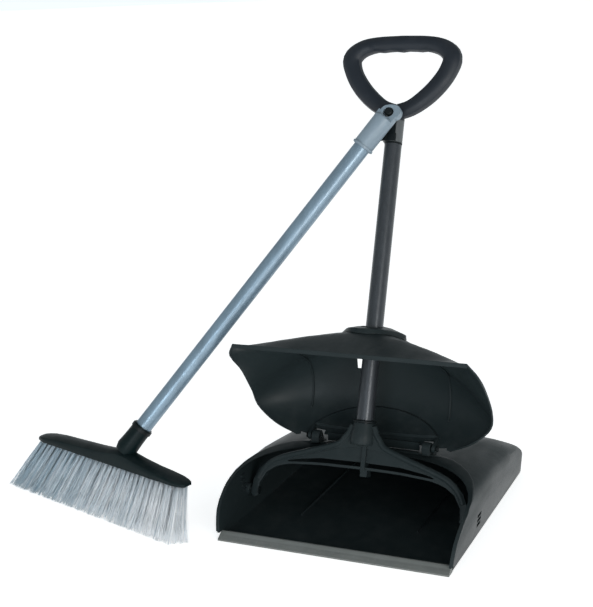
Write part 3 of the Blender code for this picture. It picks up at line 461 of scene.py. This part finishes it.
def make_bristles(node, number, material):
    """One row of trimmed filaments in tufts, each filament a tapering prism."""
    random = np.random.default_rng(SEED + number)
    lines, tone = filament_paths(node, random)
    count, stations, _ = lines.shape
    mesh = bpy.data.meshes.new(f"bristles_{number}")
    mesh.from_pydata(filament_corners(lines, random).tolist(), [], filament_faces(count, stations))
    # The tone attribute holds random tone and painted light that rises to the row's right end.
    for name, values in (
        ("tone", np.repeat(tone, stations * FILAMENT_SIDES)),
        ("reach", np.tile(np.repeat(STATIONS, FILAMENT_SIDES), count)),
    ):
        mesh.attributes.new(name, "FLOAT", "POINT").data.foreach_set("value", values.astype(np.float32))
    mesh.materials.append(material)
    mesh.shade_smooth()
    obj = bpy.data.objects.new(f"bristles_{number}", mesh)
    bpy.context.scene.collection.objects.link(obj)
    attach(obj, "broom")
    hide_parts(node)


# ---------------------------------------------------------------- CAD nodes


def smooth_shading():
    """A node group that shades a mesh smooth, apart from its edges sharper than an angle."""
    group = bpy.data.node_groups.new("smooth_by_angle", "GeometryNodeTree")
    group.interface.new_socket("Geometry", in_out="INPUT", socket_type="NodeSocketGeometry")
    group.interface.new_socket("Geometry", in_out="OUTPUT", socket_type="NodeSocketGeometry")
    start = group.nodes.new("NodeGroupInput")
    end = group.nodes.new("NodeGroupOutput")
    merge = group.nodes.new("GeometryNodeMergeByDistance")
    merge.inputs["Distance"].default_value = MERGE_DISTANCE
    faces = group.nodes.new("GeometryNodeSetShadeSmooth")
    edges = group.nodes.new("GeometryNodeSetShadeSmooth")
    edges.domain = "EDGE"
    edges.inputs["Shade Smooth"].default_value = False
    angle = group.nodes.new("GeometryNodeInputMeshEdgeAngle")
    sharp = group.nodes.new("FunctionNodeCompare")
    sharp.operation = "GREATER_THAN"
    sharp.inputs[1].default_value = SMOOTH_ANGLE
    link = group.links.new
    link(start.outputs["Geometry"], merge.inputs["Geometry"])
    link(merge.outputs["Geometry"], faces.inputs["Geometry"])
    link(faces.outputs["Geometry"], edges.inputs["Geometry"])
    link(angle.outputs["Unsigned Angle"], sharp.inputs[0])
    link(sharp.outputs["Result"], edges.inputs["Selection"])
    link(edges.outputs["Geometry"], end.inputs["Geometry"])
    return group


def dress_nodes(materials):
    """Each CAD node gets its slot's material and smooth shading."""
    group = smooth_shading()
    for part in frame["record"]["subparts"]:
        node = NODES[part["node"]]
        node.data.materials.clear()
        node.data.materials.append(materials[part["material_slot"]])
        node.modifiers.new("smooth", "NODES").node_group = group


# ---------------------------------------------------------------- stage


def make_camera():
    """The picture's camera, aimed by its yaw, pitch and roll."""
    forward = Vector((
        -math.sin(CAMERA_YAW) * math.cos(CAMERA_PITCH),
        math.cos(CAMERA_YAW) * math.cos(CAMERA_PITCH),
        -math.sin(CAMERA_PITCH),
    ))
    side = forward.cross(Vector((0.0, 0.0, 1.0))).normalized()
    top = side.cross(forward)
    right = side * math.cos(CAMERA_ROLL) + top * math.sin(CAMERA_ROLL)
    up = top * math.cos(CAMERA_ROLL) - side * math.sin(CAMERA_ROLL)
    turn = Matrix((right, up, -forward)).transposed().to_4x4()
    camera = bpy.data.objects.new("camera", bpy.data.cameras.new("camera"))
    camera.data.lens = CAMERA_LENS
    camera.data.sensor_width = CAMERA_SENSOR
    camera.data.clip_start = CAMERA_NEAR
    camera.matrix_world = Matrix.Translation(CAMERA_AT) @ turn
    bpy.context.scene.collection.objects.link(camera)
    bpy.context.scene.camera = camera


def make_lamp(name, at, towards, size, power, colour):
    """A soft round lamp."""
    lamp = bpy.data.lights.new(name, "AREA")
    lamp.shape = "DISK"
    lamp.size = size
    lamp.energy = power
    lamp.color = colour
    obj = bpy.data.objects.new(name, lamp)
    obj.location = at
    obj.rotation_euler = (Vector(towards) - Vector(at)).to_track_quat("-Z", "Y").to_euler()
    bpy.context.scene.collection.objects.link(obj)


def make_sky():
    """Dim and cool overhead, with a white band at the horizon."""
    world = bpy.data.worlds.new("studio")
    world.use_nodes = True
    tree = world.node_tree
    place = tree.nodes.new("ShaderNodeTexCoord")
    parts = tree.nodes.new("ShaderNodeSeparateXYZ")
    tree.links.new(place.outputs["Generated"], parts.inputs[0])
    falling = tree.nodes.new("ShaderNodeMapRange")
    tree.links.new(parts.outputs["Z"], falling.inputs["Value"])
    falling.inputs["From Min"].default_value = SKY_DIMMING_FROM
    falling.inputs["From Max"].default_value = SKY_DIMMING_TO
    falling.inputs["To Min"].default_value = SKY_HORIZON
    falling.inputs["To Max"].default_value = SKY_OVERHEAD
    tree.links.new(falling.outputs["Result"], tree.nodes["Background"].inputs["Strength"])
    tree.nodes["Background"].inputs["Color"].default_value = (*SKY_COLOUR, 1.0)
    bpy.context.scene.world = world


def make_floor():
    """A pale floor at the CAD model's lowest point, which reaches the horizon and glows."""
    low = CAD_BOX[0][2]
    half = FLOOR_HALF
    corners = [(-half, -half, low), (half, -half, low), (half, half, low), (-half, half, low)]
    mesh = bpy.data.meshes.new("floor")
    mesh.from_pydata(corners, [], [(0, 1, 2, 3)])
    floor = bpy.data.objects.new("floor", mesh)
    bpy.context.scene.collection.objects.link(floor)
    s = Shader("floor", (0.90, 0.90, 0.90), 0.75, specular=0.2)
    tone = s.mix(s.spread(s.noise(3.0, 3.0), 0.3, 0.7), (0.89, 0.89, 0.89), (0.92, 0.92, 0.92))
    s.set(s.main, {"Base Color": tone, "Emission Color": (1.0, 1.0, 1.0, 1.0)})
    s.set(s.main, {"Emission Strength": FLOOR_GLOW})
    mesh.materials.append(s.material)


def make_lamps():
    """A warm key from the right, a weak one behind and a cool one in front."""
    make_lamp("key", (1.9, -1.9, 0.62), (0.0, 0.1, 0.2), size=1.1, power=27.0, colour=(1.0, 0.985, 0.965))
    make_lamp("back", (2.0, 2.2, 1.9), (0.0, 0.2, 0.15), size=1.4, power=5.0, colour=(0.95, 0.98, 1.0))
    make_lamp("front", (0.2, -2.7, 0.40), (0.0, 0.1, 0.15), size=1.0, power=19.0, colour=(0.84, 0.93, 1.0))


make_camera()
make_floor()
make_sky()
make_lamps()
bpy.context.scene.view_settings.view_transform = "Standard"

MATERIALS = make_materials()
dress_nodes(MATERIALS)
for row in range(1, ROWS + 1):
    make_bristles(f"bristle_row_{row}", row, MATERIALS["bristle"])
